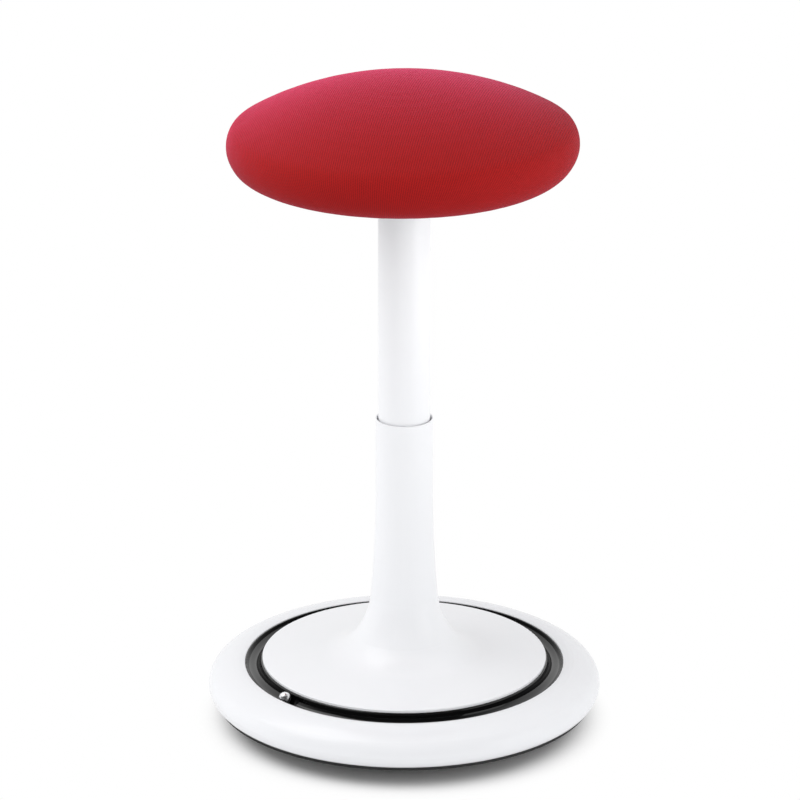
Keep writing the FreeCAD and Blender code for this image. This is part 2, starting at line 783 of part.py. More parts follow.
def make_seat_pan():
    """Plywood pan with a pocket for the lever and recesses for the nuts."""
    pan = disc(seat_pan_radius, pan_bottom, seat_pan_top)
    half = pocket_width / 2
    tools = [box(-half, half, -half, leg_back + pocket_margin, pan_bottom, seat_pan_top)]
    for x, y in seat_bolt_spots:
        tools.append(disc(seat_bolt[0] + skin_gap, pan_bottom, seat_pan_top, x, y))
        tools.append(tee_nut_body(x, y, fixed_gap))
    screw_end = pan_bottom - underside_wall + cover_screw[3] + skin_gap
    tools += [disc(cover_screw[0] + fixed_gap, pan_bottom, screw_end, x, y)
              for x, y in cover_screw_spots]
    return cut_all(pan, tools)


def cushion_outline(inset):
    """Half outline of the cushion from its crown to its flat underside, inset all round."""
    drop = (dome_radius * (1 - cosine(dome_turn))
            + shoulder_radius * (cosine(dome_turn) - cosine(shoulder_end_turn))
            + roll_radius * (cosine(shoulder_end_turn) + 1))
    top = (0, seat_bottom + drop - inset)
    arcs = [(dome_radius - inset, dome_turn), (shoulder_radius - inset, shoulder_turn),
            (roll_radius - inset, 180 - shoulder_end_turn)]
    edges, end, _ = bends(top, 0, arcs)
    return edges, top, end


def make_seat_foam():
    """Moulded foam: a domed top, a tight shoulder and a full side that rolls under the pan."""
    edges, top, end = cushion_outline(cover_thickness + seat_gap)
    foam = spin(edges + lines(end, (0, end[1]), top))
    return foam.cut(disc(seat_pan_radius + seat_gap, seat_bottom, seat_pan_top + seat_gap))


def make_seat_cover():
    """Fabric cover over the foam, drawn in under the pan to a hem that holds the cord."""
    outside, top, end = cushion_outline(0)
    inside, inner_top, inner_end = cushion_outline(cover_thickness)
    band = lines(end, (hem_radius, end[1]), (hem_radius, inner_end[1]), inner_end)
    cover = spin(outside + band + inside + lines(inner_top, top))
    middle = Vector(0, 0, hem_height)
    cover = cover.fuse(Part.makeTorus(hem_radius, hem_tube_radius, middle))
    return cover.cut(Part.makeTorus(hem_radius, cord_radius + fixed_gap, middle))


def make_hem_cord():
    return Part.makeTorus(hem_radius, cord_radius, Vector(0, 0, hem_height))


def make_underside_cover():
    """Shallow moulded dish that hides the seat plate, with a hole for the tube and the lever."""
    top = pan_bottom
    low = top - underside_depth
    dish_rim = underside_radius - underside_flange
    floor_radius = dish_rim - underside_slope
    hole = tube_radius + underside_hole_gap
    wall = underside_wall
    section = lines((hole, low), (floor_radius, low), (dish_rim, top - wall),
                    (underside_radius, top - wall), (underside_radius, top),
                    (dish_rim - wall, top), (floor_radius - wall, low + wall),
                    (hole, low + wall), (hole, low))
    tools = [lever_slot(low, pan_bottom)]
    tools += [disc(cover_screw[0] + skin_gap, low, top, x, y) for x, y in cover_screw_spots]
    return cut_all(spin(section), tools)


def make_cover_screws():
    seat = pan_bottom - underside_wall
    return group(button_screw(s, seat, cover_screw) for s in cover_screw_spots)


def make_lever_pin():
    pin = pivot_rod(lever_pivot_radius, -pin_half, pin_half)
    head_start = pin_half - pin_end
    return pin.fuse(pivot_rod(pin_head_radius, head_start, head_start + pin_head_thickness))


def lever_bar_shape(gap=0.0):
    """The bent steel bar: a nose over the valve pin, a leg through the plate and a rear arm."""
    half = lever_width / 2 + gap
    straight = grip_start - lever_straight
    end = grip_start + grip_length - grip_end_wall + gap
    outline = [(-lever_nose, lever_top - lever_bar), (-lever_nose, lever_top),
               (leg_back, lever_top), (leg_back, leg_bottom),
               (straight, arm_bottom + lever_bar + gap), (end, arm_bottom + lever_bar + gap),
               (end, arm_bottom - gap), (straight, arm_bottom - gap),
               (leg_front, leg_bottom - lever_bar), (leg_front, lever_top - lever_bar)]
    corners = [Vector(-half, y, z) for y, z in outline]
    face = Part.Face(Part.makePolygon(corners + corners[:1]))
    return face.extrude(Vector(2 * half, 0, 0))


def make_release_lever():
    half = lever_width / 2
    boss = pivot_rod(lever_boss_radius, -half, half)
    bore = pivot_rod(lever_pivot_radius + running_gap, -half, half)
    return lever_bar_shape().fuse(boss).cut(bore)


def make_lever_grip():
    """Rounded plastic paddle pushed over the end of the lever."""
    middle = arm_bottom + lever_bar / 2
    half = grip_width / 2
    grip = box(-half, half, grip_start, grip_start + grip_length,
               middle - grip_thickness / 2, middle + grip_thickness / 2)
    grip = grip.makeFillet(grip_round, grip.Edges)
    return grip.cut(lever_bar_shape(fixed_gap))


def make_valve_pin():
    pin = disc(valve_pin_radius, valve_pin_top - valve_pin_length, valve_pin_top)
    return pin.makeChamfer(valve_pin_chamfer, rims_at(pin, valve_pin_top))


pieces = {
    "rocker_sole": make_rocker_sole(),
    "base_pan": make_base_pan(),
    "base_plate": make_base_plate(),
    "ballast_ring": make_ballast_ring(),
    "ballast_screws": group(countersunk(s, plate_bottom, ballast_screw)
                            for s in ballast_screw_spots),
    "pan_screws": group(countersunk(s, pan_screw_bottom, pan_screw) for s in pan_screw_spots),
    "base_column": make_base_column(),
    "column_screws": group(countersunk(s, plate_bottom, plate_screw) for s in plate_screw_spots),
    "guide_bush": make_guide_bush(),
    "ball_track": make_ball_track(),
    "track_screws": group(countersunk_down(s, track_flange_top, track_screw)
                          for s in track_screw_spots),
    "outer_ring": make_outer_ring(),
    "ring_screws": group(countersunk(s, ring_screw_bottom, ring_screw) for s in ring_screw_spots),
    "track_ball": make_ball(),
    "lower_bearing_washer": make_washer(plate_top),
    "thrust_cage": make_thrust_cage(),
    "thrust_balls": make_thrust_balls(),
    "upper_bearing_washer": make_washer(rod_shoulder - washer_thickness),
    "piston_rod": make_rod(),
    "rod_clip": make_rod_clip(),
    "bump_stop": make_bump_stop(),
    "piston": make_piston(),
    "gas_cylinder": make_cylinder(),
    "cylinder_gland": make_gland(),
    "cylinder_spacer": make_spacer(),
    "upper_tube": make_upper_tube(),
    "glide_ring": make_glide_ring(),
    "taper_socket": make_taper_socket(),
    "seat_plate": make_seat_plate(),
    "seat_bolts": make_seat_bolts(),
    "tee_nuts": make_tee_nuts(),
    "seat_pan": make_seat_pan(),
    "seat_foam": make_seat_foam(),
    "seat_cover": make_seat_cover(),
    "hem_cord": make_hem_cord(),
    "underside_cover": make_underside_cover(),
    "cover_screws": make_cover_screws(),
    "lever_pin": make_lever_pin(),
    "release_lever": make_release_lever(),
    "lever_grip": make_lever_grip(),
    "valve_pin": make_valve_pin(),
}

os.makedirs("parts", exist_ok=True)
for name, shape in pieces.items():
    shape.exportStep(os.path.join("parts", name + ".step"))
    print(name, len(shape.Solids), round(shape.Volume / 1000, 2), "cm3",
          "valid" if shape.isValid() else "not valid")
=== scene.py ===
import math

import bpy
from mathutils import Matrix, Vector


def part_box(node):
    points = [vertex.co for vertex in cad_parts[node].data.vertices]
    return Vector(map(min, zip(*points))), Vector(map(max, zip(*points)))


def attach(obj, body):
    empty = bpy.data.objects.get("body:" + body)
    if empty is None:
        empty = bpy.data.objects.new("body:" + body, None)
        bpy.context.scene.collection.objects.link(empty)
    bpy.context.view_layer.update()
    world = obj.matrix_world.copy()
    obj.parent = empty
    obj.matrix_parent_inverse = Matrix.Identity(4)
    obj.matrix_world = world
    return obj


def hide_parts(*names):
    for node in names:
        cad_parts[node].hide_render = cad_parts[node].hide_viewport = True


# A wobble stool, finished piece by piece in the order in which it is put together, from the
# rubber sole up to the red cushion. Lengths are in metres unless a name says otherwise.
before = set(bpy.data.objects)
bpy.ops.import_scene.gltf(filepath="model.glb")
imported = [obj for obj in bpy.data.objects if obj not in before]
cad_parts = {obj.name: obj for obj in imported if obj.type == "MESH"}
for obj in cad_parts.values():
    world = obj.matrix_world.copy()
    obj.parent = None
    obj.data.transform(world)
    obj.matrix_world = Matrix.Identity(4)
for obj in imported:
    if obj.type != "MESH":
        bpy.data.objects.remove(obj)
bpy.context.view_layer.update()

# Rocking sole
# A dished skin of black rubber, 3 mm thick, bonded under the base. Its middle is flat and its
# edge curves up, which lets the stool rock. Only a thin dark edge of it shows from the side.


def put(tree, kind, sockets=None, **settings):
    """A shader node. A socket that is given another node's output is linked to it."""
    node = tree.nodes.new("ShaderNode" + kind)
    for name, value in settings.items():
        setattr(node, name, value)
    for name, value in (sockets or {}).items():
        if isinstance(value, bpy.types.NodeSocket):
            tree.links.new(value, node.inputs[name])
        else:
            node.inputs[name].default_value = value
    return node


def math_node(tree, operation, first, second=0.0, third=0.0):
    return put(tree, "Math", {0: first, 1: second, 2: third}, operation=operation).outputs[0]


def new_pattern(name, inputs):
    """A node group that puts out a Tone from 0 to 1 and a Height for a bump."""
    group = bpy.data.node_groups.new(name, "ShaderNodeTree")
    for socket, kind, value in inputs:
        made = group.interface.new_socket(socket, in_out="INPUT", socket_type=kind)
        if value is not None:
            made.default_value = value
    for socket in ("Tone", "Height"):
        group.interface.new_socket(socket, in_out="OUTPUT", socket_type="NodeSocketFloat")
    return group, group.nodes.new("NodeGroupInput").outputs, group.nodes.new("NodeGroupOutput")


def end_pattern(group, output, tone, height):
    group.links.new(tone, output.inputs["Tone"])
    group.links.new(height, output.inputs["Height"])
    return group


def make_grain():
    """Fine grain of moulded rubber and plastic, over slow changes of tone."""
    group, given, output = new_pattern("moulded_grain", [("Scale", "NodeSocketFloat", 900.0)])
    place = put(group, "TexCoord").outputs["Object"]
    fine = put(group, "TexNoise", {"Vector": place, "Scale": given["Scale"], "Detail": 3.0})
    slow = put(group, "TexNoise", {"Vector": place, "Scale": 22.0, "Detail": 5.0})
    return end_pattern(group, output, slow.outputs["Fac"], fine.outputs["Fac"])


def surface(name, pattern, values, colors, roughness, bump, metallic=0.0, vector=None, plain=None):
    """A finish whose two colours and two roughnesses are blended by the pattern's Tone.

    bump is its strength and depth, values go to the pattern and plain ones to the shader."""
    material = bpy.data.materials.new(name)
    material.use_nodes = True
    tree = material.node_tree
    shader = tree.nodes["Principled BSDF"]
    shader.inputs["Metallic"].default_value = metallic
    for socket, value in (plain or {}).items():
        shader.inputs[socket].default_value = value
    made = put(tree, "Group", node_tree=pattern)
    for socket, value in values.items():
        made.inputs[socket].default_value = value
    if vector:
        tree.links.new(vector(tree), made.inputs["Vector"])
    blend = put(tree, "Mix", {0: made.outputs["Tone"], 6: (*colors[0], 1), 7: (*colors[1], 1)},
                data_type="RGBA")
    gloss = put(tree, "MapRange", {"Value": made.outputs["Tone"], "To Min": roughness[0],
                                   "To Max": roughness[1]})
    raised = put(tree, "Bump", {"Height": made.outputs["Height"], "Strength": bump[0],
                                "Distance": bump[1]})
    tree.links.new(blend.outputs[2], shader.inputs["Base Color"])
    tree.links.new(gloss.outputs[0], shader.inputs["Roughness"])
    tree.links.new(raised.outputs[0], shader.inputs["Normal"])
    return material


def wear(material, *names):
    """Puts a finish on frame pieces."""
    for name in names:
        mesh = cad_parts[name].data
        mesh.materials.clear()
        mesh.materials.append(material)


moulded_grain = make_grain()
sole_rubber = surface("sole_rubber", moulded_grain, {"Scale": 1400.0},
                      [(0.012, 0.012, 0.013), (0.024, 0.024, 0.025)], (0.62, 0.8), (0.35, 0.0003))
wear(sole_rubber, "rocker_sole")

# Base pan
# A moulded dish of black plastic that joins the sole, the ball's track and the white ring. Its
# rings and pads are hidden once the stool is together.
black_plastic = surface("black_plastic", moulded_grain, {"Scale": 2200.0},
                        [(0.017, 0.017, 0.018), (0.03, 0.03, 0.032)], (0.42, 0.55), (0.25, 0.0002))
wear(black_plastic, "base_pan")

# Steel plate, ballast and screws
# A turned steel plate takes the column's foot and the piston rod, and a cast iron ring on it
# keeps the stool upright. Zinc-plated screws hold plate, pan, column, track and ring together.


def make_turned():
    """Fine rings left by a lathe or a drawing die, round the column's axis."""
    group, given, output = new_pattern("turned_metal", [("Rings", "NodeSocketFloat", 1500.0)])
    place = put(group, "TexCoord").outputs["Object"]
    parts = put(group, "SeparateXYZ", {0: place}).outputs
    flat = put(group, "CombineXYZ", {0: parts[0], 1: parts[1]}).outputs[0]
    radius = put(group, "VectorMath", {0: flat}, operation="LENGTH").outputs["Value"]
    across = math_node(group, "ADD", radius, parts[2])
    rings = put(group, "CombineXYZ", {0: across}).outputs[0]
    marks = put(group, "TexNoise", {"Vector": rings, "Scale": given["Rings"], "Detail": 2.0})
    stain = put(group, "TexNoise", {"Vector": place, "Scale": 40.0, "Detail": 6.0})
    tone = math_node(group, "MULTIPLY", marks.outputs["Fac"], 0.5)
    tone = math_node(group, "MULTIPLY_ADD", stain.outputs["Fac"], 0.5, tone)
    return end_pattern(group, output, tone, marks.outputs["Fac"])


turned_metal = make_turned()
plain_steel = surface("plain_steel", turned_metal, {"Rings": 1500.0},
                      [(0.42, 0.42, 0.43), (0.6, 0.6, 0.6)], (0.28, 0.42), (0.15, 0.0001), 1.0)
ballast_iron = surface("ballast_iron", moulded_grain, {"Scale": 420.0},
                       [(0.05, 0.05, 0.052), (0.11, 0.108, 0.105)], (0.6, 0.85), (0.8, 0.0006), 0.6)
zinc_steel = surface("zinc_steel", moulded_grain, {"Scale": 700.0},
                     [(0.5, 0.5, 0.49), (0.68, 0.68, 0.66)], (0.26, 0.45), (0.1, 0.0001), 1.0)
wear(plain_steel, "base_plate")
wear(ballast_iron, "ballast_ring")
wear(zinc_steel, "ballast_screws", "pan_screws", "column_screws", "track_screws", "ring_screws")

# Column and disc
# One aluminium casting: a thin straight neck with a rounded rim, a flare, and a wide shallow
# disc. It is sprayed with a thick white gloss lacquer, which flows out almost to a mirror.


def make_lacquer():
    """The slight waviness of a sprayed or moulded gloss surface, and a trace of dust."""
    group, given, output = new_pattern("gloss_lacquer", [("Wave Scale", "NodeSocketFloat", 160.0)])
    place = put(group, "TexCoord").outputs["Object"]
    wave = put(group, "TexNoise", {"Vector": place, "Scale": given["Wave Scale"], "Detail": 1.0})
    dust = put(group, "TexNoise", {"Vector": place, "Scale": 35.0, "Detail": 8.0,
                                   "Roughness": 0.65})
    return end_pattern(group, output, dust.outputs["Fac"], wave.outputs["Fac"])


gloss_lacquer = make_lacquer()
white_column = surface("white_column", gloss_lacquer, {"Wave Scale": 160.0},
                       [(0.845, 0.855, 0.878), (0.865, 0.875, 0.897)], (0.3, 0.38), (0.05, 0.0002),
                       plain={"Coat Weight": 0.25, "Coat Roughness": 0.16})
wear(white_column, "base_column")

# Ball track
# A glossy black moulded ring between the disc and the outer ring. Its round groove holds the
# loose ball, a small bead stands up against the disc's edge, and six screws go through its flange.
track_low, track_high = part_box("ball_track")
groove_radius = 0.007
groove_wall = 0.0012
groove_shell = groove_radius + groove_wall
groove_place = (track_high.x - groove_shell, track_low.z + groove_shell)
bead_radius = 0.0018
track_neck = 0.0032
flange_width = 0.007
flange_thickness = 0.002
flange_drop = 0.0074
track_screw_count = 6
track_screw_radius = 0.00192
track_head_radius = 0.00412
cutter_spare = 0.0001
cutter_sides = 32
track_steps = 256
groove_arc_step = 5.0
bead_arc_step = 6.0
weld_distance = 1e-6
smooth_angle = math.radians(40)


def walk(start, heading, arcs, degrees_a_step=3.0):
    """Points along arcs that run on from each other; a heading turns clockwise by each turn."""
    points = [start]
    for radius, turn in arcs:
        count = max(2, math.ceil(abs(turn) / degrees_a_step))
        side = math.copysign(radius, turn)
        first = math.radians(heading)
        corner = points[-1]
        for i in range(1, count + 1):
            angle = math.radians(heading - turn * i / count)
            points.append((corner[0] + side * (math.sin(first) - math.sin(angle)),
                           corner[1] + side * (math.cos(angle) - math.cos(first))))
        heading -= turn
    return points


def draw_line(name, points):
    """Starts a piece as a line drawn point by point, and leaves it in edit mode, all selected."""
    bpy.ops.object.select_all(action="DESELECT")
    bpy.ops.mesh.primitive_plane_add(enter_editmode=True)
    piece = bpy.context.object
    piece.name = name
    piece.data.name = name
    bpy.ops.mesh.select_mode(type="VERT")
    bpy.ops.mesh.select_all(action="SELECT")
    bpy.ops.mesh.merge(type="CENTER")
    bpy.ops.transform.translate(value=points[0])
    for here, there in zip(points, points[1:]):
        step = [end - start for start, end in zip(here, there)]
        bpy.ops.mesh.extrude_vertices_move(TRANSFORM_OT_translate={"value": step})
    bpy.ops.mesh.select_all(action="SELECT")
    return piece


def lathe(name, section, steps=128):
    """A piece turned about the column's axis from a half section."""
    piece = draw_line(name, [(radius, 0.0, height) for radius, height in section])
    bpy.ops.mesh.spin(steps=steps, angle=math.tau, center=(0, 0, 0), axis=(0, 0, 1))
    bpy.ops.mesh.select_all(action="SELECT")
    bpy.ops.mesh.remove_doubles(threshold=weld_distance)
    bpy.ops.mesh.normals_make_consistent(inside=False)
    bpy.ops.object.mode_set(mode="OBJECT")
    bpy.ops.object.shade_smooth_by_angle(angle=smooth_angle)
    return piece


def apply_modifier(piece, kind, **settings):
    """Adds a modifier with its settings and applies it at once."""
    modifier = piece.modifiers.new(kind.lower(), kind)
    for setting, value in settings.items():
        setattr(modifier, setting, value)
    bpy.ops.object.modifier_apply(modifier=modifier.name)


def drill(piece, count, circle, low, high, low_radius, high_radius):
    """Countersunk holes down through a flange, evenly spaced on a circle."""
    bpy.ops.object.select_all(action="DESELECT")
    cones = []
    for i in range(count):
        angle = math.tau * i / count
        spot = (circle * math.cos(angle), circle * math.sin(angle), (low + high) / 2)
        bpy.ops.mesh.primitive_cone_add(vertices=cutter_sides, radius1=low_radius,
                                        radius2=high_radius, depth=high - low, location=spot)
        cones.append(bpy.context.object)
    for cone in cones:
        cone.select_set(True)
    bpy.ops.object.join()
    cutter = bpy.context.object
    bpy.ops.object.select_all(action="DESELECT")
    bpy.context.view_layer.objects.active = piece
    apply_modifier(piece, "BOOLEAN", object=cutter, operation="DIFFERENCE", solver="EXACT")
    bpy.data.objects.remove(cutter)


def dress(piece, material, body, slot, *nodes):
    """Gives a new piece its finish and its body, and hides the frame pieces it stands for. The slot
    is not used.
    """
    piece.data.materials.clear()
    piece.data.materials.append(material)
    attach(piece, body)
    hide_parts(*nodes)


def track_section():
    """Half section: down the groove and up its inner wall, over the bead, round the flange."""
    middle, height = groove_place
    inner = middle - groove_radius
    neck = inner - bead_radius - track_neck
    flange_top = track_high.z - flange_drop
    flange_bottom = flange_top - flange_thickness
    meet = math.degrees(math.asin((height - flange_bottom) / groove_shell))
    groove_start = (middle + groove_radius, height)
    groove = walk(groove_start, -90.0, [(groove_radius, 180.0)], groove_arc_step)
    bead_start = (inner, track_high.z - bead_radius)
    bead = walk(bead_start, 90.0, [(bead_radius, -90.0)], bead_arc_step)
    flange = [(neck, track_high.z), (neck, flange_top), (neck - flange_width, flange_top),
              (neck - flange_width, flange_bottom)]
    under_start = (middle - groove_shell * math.cos(math.radians(meet)), flange_bottom)
    under = walk(under_start, meet - 90.0, [(groove_shell, meet - 180.0)], groove_arc_step)
    return groove + bead + flange + under + [groove[0]]


track_black = surface("track_black", gloss_lacquer, {"Wave Scale": 90.0},
                      [(0.0014, 0.0014, 0.0015), (0.0026, 0.0026, 0.0027)], (0.06, 0.12),
                      (0.04, 0.0002), plain={"IOR": 1.52})
track = lathe("ball_track_ring", track_section(), track_steps)
flange_circle = groove_place[0] - groove_radius - bead_radius - track_neck - flange_width / 2
flange_top_height = track_high.z - flange_drop
drill(track, track_screw_count, flange_circle,
      flange_top_height - flange_thickness - cutter_spare, flange_top_height + cutter_spare,
      track_screw_radius, track_head_radius)
dress(track, track_black, "base", "track_black", "ball_track")

# Steel balls and bearing
# The loose ball in the groove and the twelve small balls of the seat's bearing are hardened
# and polished. The bearing's washers are ground, and its cage is moulded.


def make_polish():
    """A polished metal surface with the faintest clouding."""
    group, given, output = new_pattern("polish", [("Cloud Scale", "NodeSocketFloat", 300.0)])
    place = put(group, "TexCoord").outputs["Object"]
    cloud = put(group, "TexNoise", {"Vector": place, "Scale": given["Cloud Scale"], "Detail": 6.0})
    scuff = put(group, "TexNoise", {"Vector": place, "Scale": 2500.0, "Detail": 2.0})
    return end_pattern(group, output, cloud.outputs["Fac"], scuff.outputs["Fac"])


polish = make_polish()
ball_steel = surface("ball_steel", polish, {"Cloud Scale": 300.0},
                     [(0.84, 0.845, 0.86), (0.9, 0.905, 0.92)], (0.24, 0.32), (0.02, 0.0001), 1.0)
bush_plastic = surface("bush_plastic", moulded_grain, {"Scale": 1800.0},
                       [(0.05, 0.05, 0.054), (0.09, 0.09, 0.096)], (0.38, 0.5), (0.15, 0.0002))
wear(ball_steel, "track_ball", "thrust_balls")
wear(plain_steel, "lower_bearing_washer", "upper_bearing_washer", "rod_clip")
wear(bush_plastic, "thrust_cage")

# Outer ring
# A broad ring of glossy white plastic, moulded as a hollow shell, that stands over the edge of
# the base. Its thin inner lip ends level with the groove.
white_ring = surface("white_ring", gloss_lacquer, {"Wave Scale": 70.0},
                     [(0.822, 0.832, 0.857), (0.842, 0.852, 0.876)], (0.2, 0.28), (0.04, 0.0002),
                     plain={"IOR": 1.49})
wear(white_ring, "outer_ring")

# Gas spring
# A chromed piston rod stands on the bearing and goes up into a black painted cylinder, which
# holds the seat. The rubber bump stop cushions the seat's lowest place.
rod_chrome = surface("rod_chrome", turned_metal, {"Rings": 3000.0},
                     [(0.62, 0.63, 0.65), (0.76, 0.77, 0.79)], (0.05, 0.12), (0.03, 0.0001), 1.0)
cylinder_black = surface("cylinder_black", moulded_grain, {"Scale": 500.0},
                         [(0.015, 0.015, 0.015), (0.03, 0.03, 0.03)], (0.3, 0.42), (0.2, 0.0002))
bump_rubber = surface("bump_rubber", moulded_grain, {"Scale": 1100.0},
                      [(0.02, 0.02, 0.02), (0.045, 0.045, 0.045)], (0.6, 0.78), (0.3, 0.0003))
wear(rod_chrome, "piston_rod", "valve_pin")
wear(cylinder_black, "gas_cylinder")
wear(bump_rubber, "bump_stop")
wear(bush_plastic, "piston", "cylinder_gland", "cylinder_spacer")

# Upper tube with its bushes
# A drawn steel tube, powder coated in white gloss, that slides in a plastic bush at the top of
# the column and on a plastic ring round its own lower end.
white_tube = surface("white_tube", gloss_lacquer, {"Wave Scale": 220.0},
                     [(0.845, 0.855, 0.878), (0.865, 0.875, 0.897)], (0.28, 0.36), (0.06, 0.0002),
                     plain={"Coat Weight": 0.25, "Coat Roughness": 0.14})
wear(white_tube, "upper_tube")
wear(bush_plastic, "guide_bush", "glide_ring")

# Seat plate and wooden pan
# A black steel plate with a welded socket grips the gas spring. Four bolts and nuts hold it
# under a round plywood pan.


def make_plies():
    """Plywood: thin layers up the edge, and long grain on the two faces."""
    group, given, output = new_pattern("plies", [("Ply", "NodeSocketFloat", 0.0015)])
    place = put(group, "TexCoord").outputs["Object"]
    parts = put(group, "SeparateXYZ", {0: place}).outputs
    layer = math_node(group, "FLOOR", math_node(group, "DIVIDE", parts[2], given["Ply"]))
    layer = math_node(group, "PINGPONG", layer, 1.0)
    stretched = put(group, "Mapping", {"Vector": place, "Scale": (18.0, 260.0, 260.0)}).outputs[0]
    grain = put(group, "TexNoise", {"Vector": stretched, "Scale": 1.0, "Detail": 6.0,
                                    "Distortion": 0.4}).outputs["Fac"]
    tone = math_node(group, "MULTIPLY_ADD", layer, 0.35, math_node(group, "MULTIPLY", grain, 0.65))
    return end_pattern(group, output, tone, grain)


plywood = surface("plywood", make_plies(), {"Ply": 0.0015},
                  [(0.42, 0.26, 0.13), (0.72, 0.55, 0.36)], (0.55, 0.75), (0.2, 0.0003))
seat_plate_black = surface("seat_plate_black", moulded_grain, {"Scale": 520.0},
                           [(0.02, 0.02, 0.02), (0.04, 0.04, 0.041)], (0.38, 0.52), (0.3, 0.0002))
wear(seat_plate_black, "seat_plate")
wear(plain_steel, "taper_socket")
wear(plywood, "seat_pan")
wear(zinc_steel, "seat_bolts", "tee_nuts")

# Foam
# One moulding of pale polyurethane foam, domed on top and rounded at its edge. It fits over the
# wooden pan, and the cover drawn over it keeps it there.
crown_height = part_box("seat_cover")[1].z
dome_radius = 0.3257
dome_turn = 28.0
shoulder_radius = 0.014
shoulder_turn = 25.4
ease_radius = 0.0615
ease_turn = 6.0
roll_radius = 0.0285
foam_inset = 0.0035
lean_slope = 0.0113
lean_shift = Vector((-0.0012, 0.0, -0.0008))
lean_fade = 0.022
pan_gap = 0.0003


def cushion_section(inset):
    """Half section of the cushion from its crown to where its side meets the flat underside."""
    middle_radius = (shoulder_radius + roll_radius) / 2
    roll_turn = 180.0 - dome_turn - shoulder_turn - 2 * ease_turn
    arcs = [(dome_radius - inset, dome_turn), (ease_radius - inset, ease_turn),
            (shoulder_radius - inset, shoulder_turn), (middle_radius - inset, ease_turn),
            (roll_radius - inset, roll_turn)]
    return walk((0.0, crown_height - inset), 0.0, arcs)


def make_cells():
    """Open cells of foam as small pits."""
    group, given, output = new_pattern("foam_cells", [("Cell Scale", "NodeSocketFloat", 900.0)])
    place = put(group, "TexCoord").outputs["Object"]
    cells = put(group, "TexVoronoi", {"Vector": place, "Scale": given["Cell Scale"]})
    tint = put(group, "TexNoise", {"Vector": place, "Scale": 30.0, "Detail": 4.0})
    return end_pattern(group, output, tint.outputs["Fac"], cells.outputs["Distance"])


def lean(piece):
    """The cushion rests a little lower and fuller on its left, but keeps its place at the pan."""
    for vertex in piece.data.vertices:
        beyond = (math.hypot(vertex.co.x, vertex.co.y) - pan_edge) / lean_fade
        share = 1.0 if vertex.co.z > roof else min(1.0, max(0.0, beyond))
        rise = lean_slope * vertex.co.x + lean_shift.z
        slide = lean_shift.x - lean_slope * (vertex.co.z - roof)
        vertex.co += share * Vector((slide, 0.0, rise))


foam_finish = surface("foam", make_cells(), {"Cell Scale": 900.0},
                      [(0.74, 0.7, 0.52), (0.82, 0.79, 0.64)], (0.85, 0.95), (0.7, 0.0006))
pan_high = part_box("seat_pan")[1]
pan_edge = pan_high.x + pan_gap
roof = pan_high.z + pan_gap
foam_outside = [p for p in cushion_section(foam_inset) if p[0] > pan_edge or p[1] > roof]
foam_section = foam_outside + [(pan_edge, foam_outside[-1][1]), (pan_edge, roof), (0.0, roof)]
foam = lathe("seat_foam_pad", foam_section)
lean(foam)
dress(foam, foam_finish, "seat", "foam", "seat_foam")

# Seat cover
# Red twill stretched over the foam and drawn in under the pan by an elastic cord in its hem,
# so that the top is taut and smooth and the cloth gathers in small puckers underneath.
cover_start_inset = 0.0015
cover_fullness = 0.0008
cover_thickness = 0.0012
voxel = 0.005
held_depth = voxel / 4
pressure = 4.0
sim_frames = 20
furthest_move = 0.005
smoothing = 0.5
smoothing_rounds = 4
tautness = 0.88
hem_low, hem_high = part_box("hem_cord")
hem_middle = (hem_low.z + hem_high.z) / 2
hem_radius = hem_high.x - (hem_high.z - hem_low.z) / 2
hem_tube = 0.0024
hem_steps = 360
hem_sides = 16
pucker_reach = 0.034
pucker_top = 0.006
pucker_depth = 0.0011
pucker_fade = 1.5
pucker_waves = [(0.6, 47, 1.6, 5, 0.0), (0.4, 31, 2.2, 3, 1.0)]
near_axis = 1e-6
thread_pitch = 0.00104
twill_turn = 34.0
# Painted sheen on the cover's top: the height where it starts, its lean to the left, how much it
# lifts the red, and how fast it grows towards glancing angles.
painted_sheen_start = 0.578
painted_sheen_lean = -0.12
painted_sheen_gain = (2.3, 10.0, 30.0, 1.0)
painted_sheen_power = 3.0


def swell(piece):
    """Blows the cloth up over the foam, with its underside held still."""
    mesh = piece.data
    before = [v.co.copy() for v in mesh.vertices]
    held = piece.vertex_groups.new(name="held")
    floor_z = min(v.z for v in before) + held_depth
    held.add([i for i, v in enumerate(before) if v.z < floor_z], 1.0, "REPLACE")
    cloth = piece.modifiers.new("cloth", "CLOTH")
    cloth.settings.use_pressure = True
    cloth.settings.uniform_pressure_force = pressure
    cloth.settings.vertex_group_mass = "held"
    cloth.settings.effector_weights.gravity = 0.0
    cloth.point_cache.frame_end = sim_frames
    for number in range(1, sim_frames + 1):
        bpy.context.scene.frame_set(number)
    bpy.ops.object.modifier_apply(modifier="cloth")
    bpy.context.scene.frame_set(1)
    for vertex, old in zip(mesh.vertices, before):
        move = vertex.co - old
        if move.length > furthest_move:
            vertex.co = old + move.normalized() * furthest_move


def open_underneath(piece):
    """Cuts away the cloth inside the hem."""
    bpy.ops.object.mode_set(mode="EDIT")
    bpy.ops.mesh.select_all(action="DESELECT")
    bpy.ops.object.mode_set(mode="OBJECT")
    middle_z = (min(v.co.z for v in piece.data.vertices) + crown_height) / 2
    for face in piece.data.polygons:
        middle = face.center
        face.select = middle.z < middle_z and math.hypot(middle.x, middle.y) < hem_radius
    bpy.ops.object.mode_set(mode="EDIT")
    bpy.ops.mesh.select_mode(type="FACE")
    bpy.ops.mesh.delete(type="FACE")
    bpy.ops.object.mode_set(mode="OBJECT")


